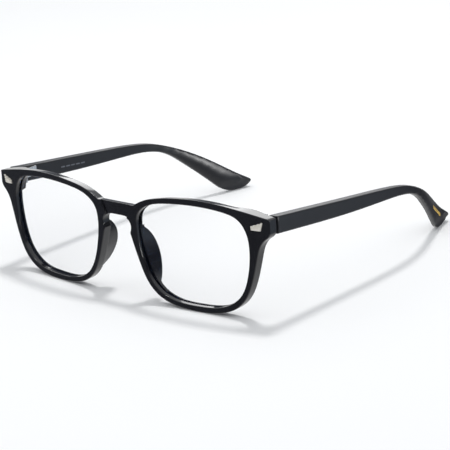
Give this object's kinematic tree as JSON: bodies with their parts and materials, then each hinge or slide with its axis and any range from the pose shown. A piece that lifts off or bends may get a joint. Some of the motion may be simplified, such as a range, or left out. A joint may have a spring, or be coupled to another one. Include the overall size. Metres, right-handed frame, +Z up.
{
  "type": "blue light glasses",
  "caption": "Full-rim glasses with a keyhole bridge, moulded nose pads, clear coated lenses and temples that fold inwards on metal barrel hinges.",
  "frame": {"origin": "on the table, under the middle of the open glasses' box", "axes": "+X to the wearer's left, -Y the way the wearer looks, +Z up; the temples run towards +Y"},
  "size_m": [0.1418, 0.1382, 0.0439],
  "materials": {
    "frame": "polished black injection-moulded plastic",
    "temple": "satin black injection-moulded plastic",
    "lens": "clear plastic lens with a faint blue-violet anti-reflection coating",
    "plaque": "pale champagne plated metal, brushed",
    "hinge": "nickel-plated steel",
    "screw": "plain steel"
  },
  "bodies": {
    "front": {"front_frame": "frame", "lens_left": "lens", "plaque_left": "plaque", "front_hinge_left": "hinge", "front_leaf_screws_left": "screw", "lens_right": "lens", "plaque_right": "plaque", "front_hinge_right": "hinge", "front_leaf_screws_right": "screw"},
    "temple_left": {"temple_left": "temple", "temple_hinge_left": "hinge", "hinge_screw_left": "screw", "lock_ring_left": "screw", "temple_leaf_screws_left": "screw"},
    "temple_right": {"temple_right": "temple", "temple_hinge_right": "hinge", "hinge_screw_right": "screw", "lock_ring_right": "screw", "temple_leaf_screws_right": "screw"}
  },
  "joints": [
    {"name": "fold_left", "type": "hinge", "parent": "front", "child": "temple_left", "pos_m": [0.0636, -0.0564, 0.0362], "axis": [0, 0, 1], "range_deg": [0, 84]},
    {"name": "fold_right", "type": "hinge", "parent": "front", "child": "temple_right", "pos_m": [-0.0636, -0.0564, 0.0362], "axis": [0, 0, -1], "range_deg": [0, 76]}
  ]
}
